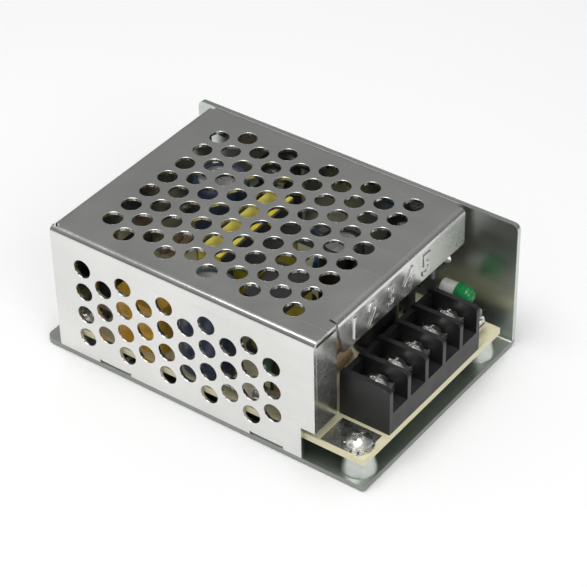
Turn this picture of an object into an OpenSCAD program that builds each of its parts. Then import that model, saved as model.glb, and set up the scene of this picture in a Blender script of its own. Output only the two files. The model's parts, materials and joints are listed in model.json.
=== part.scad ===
// Mesh case switching power supply: an open-frame converter on one circuit board,
// between a plain L-shaped chassis and a folded, perforated cover.
// Lengths are millimetres. X runs along the case towards the terminals, Y across it towards
// the chassis wall, and Z up. The origin is the middle of the case's foot.

/* [Case] */
// Overall length of the chassis
case_length = 85; // [84:1:100]
// Overall width over the chassis wall
case_width = 58; // [57:1:70]
// Overall height to the top of the cover
case_height = 33; // [32:0.5:40]
// Thickness of the chassis sheet
chassis_sheet = 1.2; // [1:0.1:1.6]
// Outer radius of the chassis bend
chassis_bend = 1.8; // [1.7:0.1:2.4]
// How far the top of the chassis wall stays below the top of the cover
wall_drop = 0.8; // [0.5:0.1:1.5]
// Radius of the free corners of the chassis wall
wall_corner = 1.5; // [0.5:0.1:3]
// Radius of the free corners of the base
base_corner = 2.2; // [0.5:0.1:3]

/* [Cover] */
// Thickness of the cover sheet
cover_sheet = 0.8; // [0.6:0.1:1]
// Outer radius of the cover bends
cover_bend = 1.4; // [1.2:0.1:2]
// Distance from the rear of the chassis to the rear of the cover
cover_setback = 4; // [3:0.5:6]
// Length of the open terminal end in front of the cover
terminal_end = 12; // [11:0.5:13]
// Height of the front lip that hangs over the terminals
lip_height = 9; // [6:0.5:10]
// Width of the inward flange at the front edge of the side panel
front_flange = 7.8; // [5:0.1:9]
// Slant of the near end of the front lip
lip_slant = 1.9; // [0:0.1:3]
// Height of the far flange that is screwed to the chassis wall
far_flange = 7.5; // [6.5:0.5:8]
// Reach of the foot tabs that lie on the base
foot_tab = 7.4; // [6.5:0.1:8]
// Width of the foot tabs
foot_tab_width = 8; // [7:0.5:12]
// Length of the notch in the side panel that clears the circuit board
notch_length = 3.5; // [2:0.5:5]
// Width of the relief cuts where two bends meet
relief = 0.6; // [0.4:0.1:0.9]

/* [Perforation] */
// Diameter of the vent holes
vent_diameter = 4.6; // [3:0.1:5]
// Distance between vent holes in one column
vent_pitch = 6.15; // [5.8:0.05:6.4]
// Distance between columns of vent holes
vent_column = 5.5; // [5.2:0.1:5.9]
// Number of columns of vent holes
vent_columns = 10; // [4:1:10]
// Vent holes in the longer columns of the top
top_vents = 8; // [4:1:8]
// Vent holes in the longer columns of the side
side_vents = 4; // [2:1:4]
// Height of the middle of the side's vent holes above the foot
side_vents_height = 16; // [15:0.5:18]
// How far the side's vent holes lie behind those of the top
side_vents_shift = 0.9; // [0:0.1:2]

/* [Circuit board] */
// Thickness of the circuit board
board_thickness = 1.6; // [1.2:0.1:2]
// Height of the pressed bosses above the base
boss_height = 4.5; // [3.5:0.5:6]
// Diameter of a boss at its foot
boss_foot = 7.7; // [7:0.1:7.7]
// Diameter of a boss at its top
boss_top = 5.6; // [5.2:0.1:6.4]
// Gap between the board's edge and the side panel of the cover
board_side_gap = 0.4; // [0.3:0.1:0.8]
// Gap between the board's far edge and the chassis wall
board_far_gap = 4; // [3.6:0.1:5]
// Gap between the board and the rear flap of the cover
board_rear_gap = 0.8; // [0.5:0.1:1.5]
// Distance from the board's front edge to the front of the base
board_front_gap = 0.8; // [0.5:0.1:1.5]
// Distance of the board's fixing screws from its edges
board_screw_inset = 3.5; // [3.5:0.1:4]
// Thread diameter of all fixing screws
screw_diameter = 3; // [2.5:0.1:3]
// Radial clearance around a screw in its hole
screw_clearance = 0.1; // [0.05:0.01:0.2]
// Thickness of the insulating sheet on the base
film_thickness = 0.4; // [0.2:0.1:0.8]

/* [Terminal block] */
// Number of ways
terminal_ways = 5; // [3:1:5]
// Distance between ways
terminal_pitch = 6.5; // [6.35:0.05:6.8]
// Thickness of the barriers
terminal_wall = 1.2; // [1:0.1:1.3]
// Depth of the block from front to back
terminal_depth = 12.4; // [12:0.1:13]
// Height of the barriers above the board
terminal_height = 11.7; // [11:0.1:13]
// Height of the front step above the board
terminal_step = 5.2; // [4.5:0.1:5.6]
// Height of the contact seats above the board
terminal_seat = 6.3; // [6:0.1:7]
// Distance from the cover's side face to the block's near end
terminal_offset = 10.4; // [9:0.1:12]
// Distance from the block's front to the screws
terminal_screw_inset = 5.9; // [5.6:0.1:6.2]
// Thickness of the contacts and of the clamp plates
contact_sheet = 0.8; // [0.6:0.1:1]
// Head diameter of the terminal screws
terminal_head = 5; // [4.4:0.1:5]

/* [Magnetics] */
// Width of the transformer core across the case
core_width = 25.4; // [22:0.2:26]
// Thickness of the transformer core
core_thickness = 6.6; // [6:0.1:7.4]
// Height of the transformer core
core_height = 19.6; // [17:0.2:20]
// Limb width of the transformer core
core_limb = 3.4; // [3:0.1:4]
// Outer diameter of the line choke's ring
choke_diameter = 14; // [12:0.5:14]
// Outer diameter of the output inductor
inductor_diameter = 9; // [7:0.5:9]

/* [Capacitors] */
// Diameter of the bulk capacitors
bulk_diameter = 12.5; // [10:0.5:13]
// Height of the bulk capacitors
bulk_height = 20.5; // [16:0.5:21]
// Diameter of the output capacitors
output_cap_diameter = 10; // [8:0.5:10]
// Height of the output capacitors
output_cap_height = 20; // [12:0.5:20]

/* [Indicator and trimmer] */
// Diameter of the indicator lamp
lamp_diameter = 3.8; // [3:0.1:4]
// Height of the lamp's axis above the board
lamp_height = 6.5; // [5:0.1:8]
// Diameter of the trimmer's rotor
trimmer_diameter = 4; // [3.4:0.1:5]

/* [Hidden] */
$fn = 48;
cut = 0.5;                // how far a cutting shape reaches past a face
touch = 0.02;             // running gap between pieces that turn in each other
part_gap = 0.4;           // free space kept between neighbouring parts
screw_r = screw_diameter / 2;
screw_hole_r = screw_r + screw_clearance;
head_r = screw_diameter * 0.92;
head_h = screw_diameter * 0.68;

// Case planes, measured from the rear near corner of the foot
wall_in = case_width - chassis_sheet;
wall_top = case_height - wall_drop;
cover_front = case_length - terminal_end;
cover_in = cover_sheet;
cover_ceiling = case_height - cover_sheet;
cover_length = cover_front - cover_setback;
far_face = wall_in - cover_sheet;

// Circuit board
board_bottom = chassis_sheet + boss_height;
board_top = board_bottom + board_thickness;
board_near = cover_in + board_side_gap;
board_far = wall_in - board_far_gap;
board_rear = cover_setback + cover_sheet + board_rear_gap;
board_front = case_length - board_front_gap;
boss_x = [board_rear + board_screw_inset, board_front - board_screw_inset];
boss_y = [board_near + board_screw_inset, board_far - board_screw_inset];
fixings = [[boss_x[1], boss_y[0]], [boss_x[0], boss_y[0]], [boss_x[0], boss_y[1]]];
washer_h = 0.5;
washer_r = screw_diameter * 1.08;
notch_top = board_top + 2.2;

// Screws that hold the cover: two in the foot flange, two in the far flange
cover_screw_x = [board_rear + 14.5, cover_front - 12.5];
foot_screw_y = foot_tab - 3.4;
far_screw_z = case_height - far_flange / 2 - 0.6;
countersink_h = chassis_sheet;
foot_bend = cover_sheet + 0.1;
foot_relief = 0.25;

// Tapped fixing holes of the case
base_fix_x = [10, case_length - 10];
base_fix_y = case_width / 2;
side_fix_x = [12.5, cover_front - 5.5];
side_fix_z = case_height / 2;
tap_r = screw_diameter * 0.42;

// Terminal block
block_near = terminal_offset;
block_width = terminal_ways * terminal_pitch + terminal_wall;
block_front = board_front;
block_rear = block_front - terminal_depth;
block_top = board_top + terminal_height;
step_top = board_top + terminal_step;
seat_top = board_top + terminal_seat;
contact_top = seat_top + contact_sheet;
way_x = block_front - terminal_screw_inset;
bay_width = terminal_pitch - terminal_wall;
plate_gap = 0.3;
plate_x = terminal_head + 1;
plate_y = bay_width - 2 * plate_gap;
seat_front = way_x + plate_x / 2;
rear_wall = 1.2;
collar_r = screw_r + 0.7;
collar_h = 1.4;
shank_l = terminal_seat - 0.9;
contact_tail = 1;
tail_x = block_rear + rear_wall + 0.7;
terminal_head_h = 2.1;

// Power devices on the chassis wall
device_x = [24, cover_front - 14];
device_w = 10;
device_t = 4.5;
device_foot = board_top + 2.6;
device_h = case_height - far_flange - part_gap - device_foot;
device_hole_z = device_foot + device_h - 3.2;
pad_t = 0.4;
device_back = wall_in - pad_t;
lead_t = 0.6;

// Indicator lamp
lamp_y = board_far - 1.6;
lamp_z = board_top + lamp_height;
lamp_r = lamp_diameter / 2;
lamp_back = cover_front + 1.2;
lamp_flange_h = 0.9;
sleeve_l = 3.7;
lamp_lead_gap = 1.27;

// Trimmer
trimmer_r = trimmer_diameter / 2;
trimmer_x = block_front - 3.2;
trimmer_y = board_far - 4.5;
trimmer_z = board_top + trimmer_r + 0.7;

// Places children in the row frame from the rear near corner of the foot.
module in_case() translate([-case_length / 2, -case_width / 2, 0]) children();

// Quarter of a bent sheet in its own plane: the bend's centre is the origin, and the sheet
// turns through the first quadrant.
module bend_section(outer, sheet) {
    intersection() {
        difference() {
            circle(outer);
            circle(outer - sheet);
        }
        square(outer);
    }
}

// A section drawn in Y and Z, extruded along X from x0 to x1.
module along_x(x0, x1) {
    translate([x0, 0, 0]) rotate([90, 0, 90]) linear_extrude(x1 - x0) children();
}

// A section drawn in X and Z, extruded along Y from y0 to y1.
module along_y(y0, y1) {
    translate([0, y1, 0]) rotate([90, 0, 0]) linear_extrude(y1 - y0) children();
}

// A block between two corners.
module block(low, high) translate(low) cube(high - low);

// A rectangle in the plane with rounded corners.
module round_rect(size, r) {
    translate([r, 0]) square([size[0] - 2 * r, size[1]]);
    translate([0, r]) square([size[0], size[1] - 2 * r]);
    for (x = [r, size[0] - r], y = [r, size[1] - r]) translate([x, y]) circle(r);
}

// Cuts away a square corner outside a round one, of radius r, at the origin.
module corner_cut(r) {
    difference() {
        translate([-cut, -cut]) square(r + cut);
        translate([r, r]) circle(r);
    }
}

// ---------------------------------------------------------------- chassis

module boss_shape(foot_r, top_r, h) cylinder(h = h, r1 = foot_r, r2 = top_r);

module chassis() {
    color("darkseagreen") in_case() difference() {
        union() {
            along_x(0, case_length) chassis_section();
            for (x = boss_x, y = boss_y) translate([x, y, chassis_sheet])
                boss_shape(boss_foot / 2, boss_top / 2, boss_height);
        }
        for (x = boss_x, y = boss_y) translate([x, y, 0]) {
            boss_shape(boss_foot / 2 - chassis_sheet, boss_top / 2 - chassis_sheet, boss_height);
            cylinder(h = board_bottom + cut, r = screw_hole_r);
        }
        for (x = base_fix_x) translate([x, base_fix_y, -cut]) cylinder(h = 3, r = tap_r);
        for (x = side_fix_x) translate([x, wall_in - cut, side_fix_z]) rotate([-90, 0, 0])
            cylinder(h = 3, r = tap_r);
        for (x = device_x) translate([x, wall_in - cut, device_hole_z]) rotate([-90, 0, 0])
            cylinder(h = 3, r = screw_hole_r);
        for (x = cover_screw_x) {
            translate([x, foot_screw_y, 0]) countersink();
            translate([x, case_width, far_screw_z]) rotate([90, 0, 0]) countersink();
        }
        base_corners();
        wall_corners();
    }
}

// Base, bend and wall of the chassis.
module chassis_section() {
    bend_x = case_width - chassis_bend;
    square([bend_x, chassis_sheet]);
    translate([bend_x, chassis_bend]) mirror([0, 1]) bend_section(chassis_bend, chassis_sheet);
    translate([wall_in, chassis_bend]) square([chassis_sheet, wall_top - chassis_bend]);
}

module countersink() {
    translate([0, 0, -cut]) cylinder(h = chassis_sheet + 2 * cut, r = screw_hole_r);
    translate([0, 0, -touch])
        cylinder(h = countersink_h + touch, r1 = screw_hole_r + countersink_h, r2 = screw_hole_r);
}

// Rounds the two free corners of the base.
module base_corners() {
    for (end = [0, 1]) translate([end * case_length, 0, -cut]) mirror([end, 0, 0])
        linear_extrude(chassis_sheet + 2 * cut) corner_cut(end == 0 ? base_corner : wall_corner / 2);
}

// Rounds the two upper corners of the wall.
module wall_corners() {
    for (end = [0, 1]) translate([end * case_length, 0, wall_top]) mirror([end, 0, 0])
        along_y(wall_in - cut, case_width + cut) mirror([0, 1]) corner_cut(wall_corner);
}

// ---------------------------------------------------------------- cover

module cover() {
    color("gainsboro") in_case() difference() {
        union() {
            cover_top();
            cover_side();
            cover_rear();
            cover_far_flange();
            front_lip();
            side_front_flange();
            side_foot_tabs();
        }
        bend_reliefs();
    }
}

// Centres of a staggered field of vent holes: every other column is one hole shorter.
function vent_field(long_first, count) = [for (column = [0 : vent_columns - 1])
    let (short = (column % 2 == 0) != long_first, holes = short ? count - 1 : count)
    for (i = [0 : holes - 1])
        [(column - (vent_columns - 1) / 2) * vent_column, (i - (holes - 1) / 2) * vent_pitch]];

module vents(centres) for (place = centres) translate(place) circle(vent_diameter / 2);

module cover_top() {
    translate([0, 0, cover_ceiling]) linear_extrude(cover_sheet) difference() {
        translate([cover_setback + cover_bend, cover_bend])
            square([cover_length - 2 * cover_bend, wall_in - 2 * cover_bend]);
        translate([cover_setback + cover_length / 2, wall_in / 2])
            vents(vent_field(false, top_vents));
    }
    // flat strip over the front flange, and the long bend above the side panel
    block([cover_front - cover_bend - touch, cover_bend, cover_ceiling],
        [cover_front, front_flange, case_height]);
    along_x(cover_setback + relief, cover_front) translate([cover_bend, case_height - cover_bend])
        mirror([1, 0]) bend_section(cover_bend, cover_sheet);
}

module cover_side() {
    start = cover_setback + relief;
    difference() {
        along_y(0, cover_sheet) difference() {
            translate([start, chassis_sheet])
                square([cover_front - start, case_height - cover_bend - chassis_sheet]);
            translate([cover_front - notch_length, chassis_sheet - cut])
                square([notch_length + cut, notch_top - chassis_sheet + cut]);
            for (x = cover_screw_x) translate([x - foot_tab_width / 2 - foot_relief, chassis_sheet - cut])
                square([foot_tab_width + 2 * foot_relief, foot_bend + cut]);
            translate([cover_setback + cover_length / 2 - side_vents_shift, side_vents_height])
                vents(vent_field(true, side_vents));
        }
    }
}

module cover_rear() {
    near = cover_bend + relief / 2;
    far = wall_in - cover_bend - relief / 2;
    along_y(near, far) translate([cover_setback + cover_bend, case_height - cover_bend])
        mirror([1, 0]) bend_section(cover_bend, cover_sheet);
    block([cover_setback, near, chassis_sheet + 1],
        [cover_setback + cover_sheet, far, case_height - cover_bend]);
}

module cover_far_flange() {
    start = cover_setback + cover_bend + relief;
    end = cover_front - cover_bend - relief;
    difference() {
        union() {
            along_x(start, end) translate([wall_in - cover_bend, case_height - cover_bend])
                bend_section(cover_bend, cover_sheet);
            block([start, far_face, case_height - far_flange],
                [end, wall_in, case_height - cover_bend]);
        }
        for (x = cover_screw_x) translate([x, far_face - cut, far_screw_z]) rotate([-90, 0, 0])
            cylinder(h = cover_sheet + 2 * cut, r = screw_hole_r);
    }
}

// The lip is bent down over the terminals. Its near end slants inwards.
module front_lip() {
    near = front_flange + relief;
    far = wall_in - cover_bend - relief / 2;
    low = case_height - lip_height;
    high = case_height - cover_bend;
    along_y(near, far) translate([cover_front - cover_bend, case_height - cover_bend])
        bend_section(cover_bend, cover_sheet);
    along_x(cover_front - cover_sheet, cover_front)
        polygon([[near, high], [near + lip_slant, low], [far, low], [far, high]]);
}

// Flange folded inwards at the front edge of the side panel.
module side_front_flange() {
    high = case_height - cover_bend - 0.2;
    turn = cover_sheet + 0.2;
    translate([cover_front - turn, turn, notch_top]) linear_extrude(high - notch_top)
        mirror([0, 1]) bend_section(turn, cover_sheet);
    along_x(cover_front - cover_sheet, cover_front) translate([turn, notch_top])
        square([front_flange - turn, high - notch_top]);
}

// Tabs folded inwards at the foot of the side panel. They lie on the base and are screwed to it.
module side_foot_tabs() {
    for (x = cover_screw_x) {
        along_x(x - foot_tab_width / 2, x + foot_tab_width / 2)
            translate([foot_bend, chassis_sheet + foot_bend]) rotate(180)
                bend_section(foot_bend, cover_sheet);
        translate([x, 0, chassis_sheet]) linear_extrude(cover_sheet) difference() {
            translate([-foot_tab_width / 2, foot_bend])
                square([foot_tab_width, foot_tab - foot_bend]);
            for (end = [0, 1]) mirror([end, 0]) translate([-foot_tab_width / 2, foot_tab])
                mirror([0, 1]) corner_cut(1.4);
            translate([0, foot_screw_y]) circle(screw_hole_r);
        }
    }
}

// The sheet is cut back where bends meet, and beside the foot flange.
module bend_reliefs() {
    for (x = [cover_setback + cover_bend, cover_front - cover_bend])
        translate([x, wall_in - cover_bend, cover_ceiling - cut])
            cylinder(h = cover_sheet + 2 * cut, r = relief);
    translate([cover_setback + cover_bend, cover_bend, cover_ceiling - cut])
        cylinder(h = cover_sheet + 2 * cut, r = relief);
    block([cover_front - cover_bend - relief, front_flange, cover_ceiling - cover_bend],
        [cover_front + cut, front_flange + relief, case_height + cut]);
}

// ---------------------------------------------------------------- fasteners

// A screw with its head's underside on the plane z = 0 and its shank below.
module pan_screw(length, head_radius, head_height) {
    difference() {
        union() {
            translate([0, 0, -length]) cylinder(h = length, r = screw_r);
            rotate_extrude() intersection() {
                square([head_radius, head_height]);
                translate([0, head_height - head_radius * 1.5]) circle(head_radius * 1.5);
            }
        }
        translate([0, 0, head_height * 0.45]) cross_recess(head_radius, head_height);
    }
}

module cross_recess(r, h) {
    for (turn = [0, 90]) rotate(turn) translate([-r * 0.6, -r * 0.13, 0]) cube([r * 1.2, r * 0.26, h]);
}

// A countersunk screw whose head's top lies on the plane z = 0, pointing up.
module flat_screw(length) {
    difference() {
        union() {
            cylinder(h = length, r = screw_r);
            cylinder(h = screw_diameter * 0.4, r1 = screw_r + screw_diameter * 0.4, r2 = screw_r);
        }
        translate([0, 0, -cut]) cross_recess(head_r, cut + 0.9);
    }
}

module cover_screws() {
    color("lightgray") in_case() for (x = cover_screw_x) {
        translate([x, foot_screw_y, 0]) flat_screw(chassis_sheet + cover_sheet + 1);
        translate([x, case_width, far_screw_z]) rotate([90, 0, 0])
            flat_screw(chassis_sheet + cover_sheet + 1);
    }
}

module board_screws() {
    color("silver") in_case() for (place = fixings)
        translate([place[0], place[1], board_top + washer_h])
            pan_screw(board_thickness + washer_h + chassis_sheet + 1, head_r, head_h);
}

module lock_washers() {
    teeth = 12;
    color("gainsboro") in_case() for (place = fixings) translate([place[0], place[1], board_top])
        difference() {
            cylinder(h = washer_h, r = washer_r);
            translate([0, 0, -cut]) cylinder(h = 2, r = screw_hole_r);
            for (i = [0 : teeth - 1]) rotate(i * 360 / teeth)
                translate([washer_r - 0.7, -0.25, -cut]) cube([1, 0.5, 2]);
        }
}

// ---------------------------------------------------------------- board and insulation

module insulating_sheet() {
    far = wall_in - 0.8;
    near = board_near + 2 * board_screw_inset + 1.3;
    color("whitesmoke") in_case() translate([0, 0, chassis_sheet]) linear_extrude(film_thickness)
        difference() {
            translate([board_rear, near]) square([cover_front - 7 - board_rear, far - near]);
            translate([boss_x[0], boss_y[1]]) circle(boss_foot / 2 + 0.6);
            translate([base_fix_x[0], base_fix_y]) circle(screw_diameter);
        }
}

module circuit_board() {
    color("khaki") in_case() difference() {
        block([board_rear, board_near, board_bottom], [board_front, board_far, board_top]);
        for (place = fixings) translate([place[0], place[1], board_bottom - cut])
            cylinder(h = board_thickness + 2 * cut, r = screw_hole_r);
        for (way = [1 : terminal_ways]) translate([tail_x - 0.1, way_y(way) - 0.6, board_bottom - cut])
            cube([contact_sheet + 0.2, contact_tail + 0.2, board_thickness + 2 * cut]);
    }
}

// ---------------------------------------------------------------- terminal block

function way_y(way) = block_near + terminal_wall / 2 + (way - 0.5) * terminal_pitch;

module terminal_block() {
    color("dimgray") in_case() difference() {
        union() {
            block([block_rear, block_near, board_top],
                [block_front, block_near + block_width, step_top]);
            block([block_rear, block_near, board_top],
                [seat_front, block_near + block_width, seat_top]);
            block([block_rear, block_near, board_top],
                [block_rear + rear_wall, block_near + block_width, block_top - 1]);
            for (i = [0 : terminal_ways])
                along_y(block_near + i * terminal_pitch, block_near + i * terminal_pitch + terminal_wall)
                    barrier_outline();
        }
        for (way = [1 : terminal_ways]) {
            translate([way_x, way_y(way), board_top + 0.4]) cylinder(h = terminal_seat, r = screw_r + 0.3);
            translate([way_x, way_y(way), seat_top - collar_h - 0.1])
                cylinder(h = terminal_seat, r = collar_r + 0.1);
            translate([tail_x - 0.1, way_y(way) - 0.6, board_top - cut])
                cube([contact_sheet + 0.2, contact_tail + 0.2, terminal_seat + 2 * cut]);
        }
    }
}

// Side view of one barrier, with its front and rear upper corners rounded.
module barrier_outline() {
    translate([block_rear, board_top]) difference() {
        square([terminal_depth, terminal_height]);
        translate([terminal_depth, terminal_height]) rotate(180) corner_cut(1.4);
        translate([0, terminal_height]) mirror([0, 1]) corner_cut(0.8);
    }
}

// A contact: its flat top is tapped for the screw, and its tail runs down through the board.
module terminal_contacts() {
    color("silver") in_case() for (way = [1 : terminal_ways]) translate([0, way_y(way), 0])
        difference() {
            union() {
                block([tail_x, -plate_y / 2, seat_top], [seat_front, plate_y / 2, contact_top]);
                translate([way_x, 0, seat_top - collar_h]) cylinder(h = collar_h + touch, r = collar_r);
                block([tail_x, -contact_tail / 2, board_bottom - 1],
                    [tail_x + contact_sheet, contact_tail / 2, seat_top + touch]);
            }
            translate([way_x, 0, seat_top - 2]) cylinder(h = 4, r = screw_r + 3 * touch);
        }
}

// Square clamp plate under a terminal screw, its front and rear edges turned up a little.
module clamp_plate(way) {
    color("lightgray") in_case() translate([way_x, way_y(way), contact_top]) difference() {
        along_y(-plate_y / 2, plate_y / 2) {
            translate([-plate_x / 2, 0]) square([plate_x, contact_sheet]);
            for (side = [-1, 1]) translate([side * (plate_x / 2 - 0.2) - 0.2, 0])
                square([0.4, contact_sheet + 0.4]);
        }
        translate([0, 0, -cut]) cylinder(h = 2, r = screw_r + 3 * touch);
    }
}

module terminal_screw(way) {
    color("gainsboro") in_case() translate([way_x, way_y(way), contact_top + contact_sheet])
        pan_screw(shank_l, terminal_head / 2 - 0.1, terminal_head_h);
}

module clamp_plate_1() clamp_plate(1);
module clamp_plate_2() clamp_plate(2);
module clamp_plate_3() clamp_plate(3);
module clamp_plate_4() clamp_plate(4);
module clamp_plate_5() clamp_plate(5);
module terminal_screw_1() terminal_screw(1);
module terminal_screw_2() terminal_screw(2);
module terminal_screw_3() terminal_screw(3);
module terminal_screw_4() terminal_screw(4);
module terminal_screw_5() terminal_screw(5);

// ---------------------------------------------------------------- transformer

bobbin_foot = 1.8;
core_foot = board_top + bobbin_foot;
core_x = cover_setback + 30.5;
core_y = case_width / 2;
centre_limb = 2 * core_limb;
tape_t = 0.3;
window_h = core_height - 2 * core_limb;
bobbin_wall = 1;
bobbin_x = core_thickness + 11.5;
bobbin_y = core_width - 2 * core_limb - 0.4;

// Two E halves: a frame with a limb in its middle, which the bobbin sits on.
module transformer_core() {
    color("#2b2b2d") in_case() translate([core_x, core_y, core_foot])
        along_x(-core_thickness / 2, core_thickness / 2) difference() {
            translate([-core_width / 2, 0]) square([core_width, core_height]);
            for (side = [0, 1]) mirror([side, 0]) translate([centre_limb / 2, core_limb])
                square([core_width / 2 - core_limb - centre_limb / 2, window_h]);
        }
}

// Bobbin: two flanges and a tube around the middle limb, on a foot that carries the pins.
module transformer_bobbin() {
    tube_x = core_thickness + 2 * bobbin_wall;
    tube_y = centre_limb + 2 * bobbin_wall;
    low = core_foot + core_limb;
    color("#1d1d20") in_case() translate([core_x, core_y, 0]) difference() {
        union() {
            for (z = [low, low + window_h - bobbin_wall]) translate([-bobbin_x / 2, -bobbin_y / 2, z])
                cube([bobbin_x, bobbin_y, bobbin_wall]);
            translate([-tube_x / 2, -tube_y / 2, low]) cube([tube_x, tube_y, window_h]);
            for (side = [-1, 1]) translate([side * (bobbin_x + core_thickness) / 4
                - (bobbin_x - core_thickness) / 4 + 0.1, -bobbin_y / 2, board_top])
                cube([(bobbin_x - core_thickness) / 2 - 0.2, bobbin_y, low - board_top + touch]);
        }
        translate([-core_thickness / 2 - 0.1, -centre_limb / 2 - 0.1, low - cut])
            cube([core_thickness + 0.2, centre_limb + 0.2, window_h + 2 * cut]);
    }
}

// The coil, wrapped in tape.
module transformer_winding() {
    tube_x = core_thickness + 2 * bobbin_wall;
    tube_y = centre_limb + 2 * bobbin_wall;
    size = [bobbin_x - 1, bobbin_y - 0.6];
    color("gold") in_case() translate([core_x, core_y, core_foot + core_limb + bobbin_wall])
        linear_extrude(window_h - 2 * bobbin_wall) difference() {
            translate(-size / 2) round_rect(size, 3);
            translate([-tube_x / 2, -tube_y / 2]) square([tube_x, tube_y]);
        }
}

// Tape around the outside of the core.
module core_tape() {
    width = core_thickness - 0.8;
    color("yellow") in_case() translate([core_x, core_y, core_foot]) along_x(-width / 2, width / 2)
        difference() {
            translate([-core_width / 2 - tape_t, -tape_t])
                square([core_width + 2 * tape_t, core_height + 2 * tape_t]);
            translate([-core_width / 2, 0]) square([core_width, core_height]);
        }
}

// ---------------------------------------------------------------- capacitors

// A can in its sleeve: rounded shoulders, a crimp groove and a recessed top.
module can(diameter, height) {
    r = diameter / 2;
    shoulder = 0.8;
    color("darkslategray") rotate_extrude() difference() {
        union() {
            square([r - shoulder, height]);
            translate([0, shoulder]) square([r, height - 2 * shoulder]);
            for (z = [shoulder, height - shoulder]) translate([r - shoulder, z]) circle(shoulder);
        }
        translate([r + 0.5, 2.6]) circle(1.1);
        translate([-cut, height - 0.3]) square([r - 1.2 + cut, 1]);
        translate([-2, -cut]) square([2, height + 2 * cut]);
    }
}

bulk_places = [[core_x - (bobbin_x + bulk_diameter) / 2 - part_gap, core_y + 11.5],
    [core_x + 5.5, board_near + bulk_diameter / 2 + 0.9]];

module bulk_capacitors() {
    in_case() for (place = bulk_places) translate([place[0], place[1], board_top])
        can(bulk_diameter, bulk_height);
}

output_places = [[cover_front - 19.4, core_y + 8], [cover_front - 8, core_y + 4.2]];

module output_capacitors() {
    in_case() for (place = output_places) translate([place[0], place[1], board_top])
        can(output_cap_diameter, output_cap_height);
}

module supply_capacitor() {
    in_case() translate([core_x + 6.5, board_far - 4.5, board_top]) can(5, 11);
}

// Boxed film capacitor across the line.
module line_capacitor() {
    size = [13, 6];
    color("goldenrod") in_case() translate([core_x - 17, board_near + 2, board_top])
        linear_extrude(12) round_rect(size, 0.5);
}

// A disc with a round edge, its axis along Z.
module disc(radius, edge) rotate_extrude() {
    translate([radius - edge, 0]) intersection() {
        circle(edge);
        translate([0, -edge]) square([edge, 2 * edge]);
    }
    translate([0, -edge]) square([radius - edge, 2 * edge]);
}

// Disc capacitor on edge, across the isolation gap.
module safety_capacitor() {
    color("steelblue") in_case() translate([core_x + 11.9, core_y + 13.5, board_top + 5.2]) {
        rotate([90, 0, 0]) disc(4.2, 1.6);
        for (side = [-1, 1]) translate([side * 2.5, 0, -5.2]) cylinder(h = 2.4, r = 0.3);
    }
}

// ---------------------------------------------------------------- chokes and inductors

choke_place = [cover_front - 9.8, board_near + 8.8];
choke_r = choke_diameter / 2;
choke_core = [3, 4.4];

// Ring core that stands on the board, its axis along X.
module choke_frame() {
    in_case() translate([choke_place[0], choke_place[1], board_top + choke_r - 0.9])
        rotate([0, 90, 0]) children();
}

module choke_section(grow) {
    translate([choke_r - 1.6 - choke_core[0] - grow, -choke_core[1] / 2 - grow])
        square([choke_core[0] + 2 * grow, choke_core[1] + 2 * grow]);
}

module line_choke_core() {
    color("darkgreen") choke_frame() rotate_extrude() choke_section(0);
}

// Two windings on opposite sides of the ring, each a row of turns.
module line_choke_windings() {
    turns = 9;
    color("chocolate") choke_frame() for (side = [0, 180], i = [0 : turns - 1])
        rotate(side + 90 + (i - (turns - 1) / 2) * 15) rotate([0, 0, -6.3])
            rotate_extrude(angle = 12.6) difference() {
                choke_section(1.2);
                choke_section(touch);
            }
}

filter_place = [cover_front - 24, core_y - 7.5];

// Small filter coil, wrapped in tape, on a rod core.
module filter_coil() {
    size = [9.6, 12.4];
    color("gold") in_case() translate([filter_place[0], filter_place[1], board_top + 2])
        linear_extrude(12.5) difference() {
            translate(-size / 2) round_rect(size, 2.4);
            circle(2.6);
        }
}

module filter_coil_core() {
    size = [10.4, 13.2];
    color("#303033") in_case() translate([filter_place[0], filter_place[1], board_top]) {
        linear_extrude(2) translate(-size / 2) round_rect(size, 1);
        cylinder(h = 15, r = 2.6 - touch);
        translate([0, 0, 14.5]) linear_extrude(1.6) translate(-size / 2) round_rect(size, 1);
    }
}

inductor_place = [cover_front - 16, board_far - 6.4];
inductor_r = inductor_diameter / 2;

// Drum core with a rod in its middle.
module output_inductor_core() {
    color("#2f2f31") in_case() translate([inductor_place[0], inductor_place[1], board_top]) {
        cylinder(h = 1.4, r = inductor_r);
        cylinder(h = 12, r = 2.2);
        translate([0, 0, 10.6]) cylinder(h = 1.4, r = inductor_r);
    }
}

module output_inductor_winding() {
    wire = 1.1;
    layers = 8;
    color("peru") in_case() translate([inductor_place[0], inductor_place[1], board_top + 1.45])
        rotate_extrude() difference() {
            union() {
                translate([2.3, 0]) square([inductor_r - 2.3 - wire / 2, layers * wire]);
                for (i = [0 : layers - 1]) translate([inductor_r - 0.15 - wire / 2, (i + 0.5) * wire])
                    circle(wire / 2);
            }
            translate([-1, -1]) square([2.25 + 1, 20]);
        }
}

// ---------------------------------------------------------------- small parts on the board

module bridge_rectifier() {
    place = [board_rear + 2.4, board_near + 2 * board_screw_inset + 2];
    color("#26262a") in_case() translate([place[0], place[1], board_top + 1.6]) {
        difference() {
            cube([4, 14, 10.5]);
            translate([-cut, -touch, 8.5]) rotate([45, 0, 0]) translate([0, -4, 0]) cube([6, 4, 6]);
        }
        for (i = [0 : 3]) translate([1.6, 1.2 + i * 3.7, -1.6]) cube([0.8, 0.8, 1.7]);
    }
}

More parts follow.
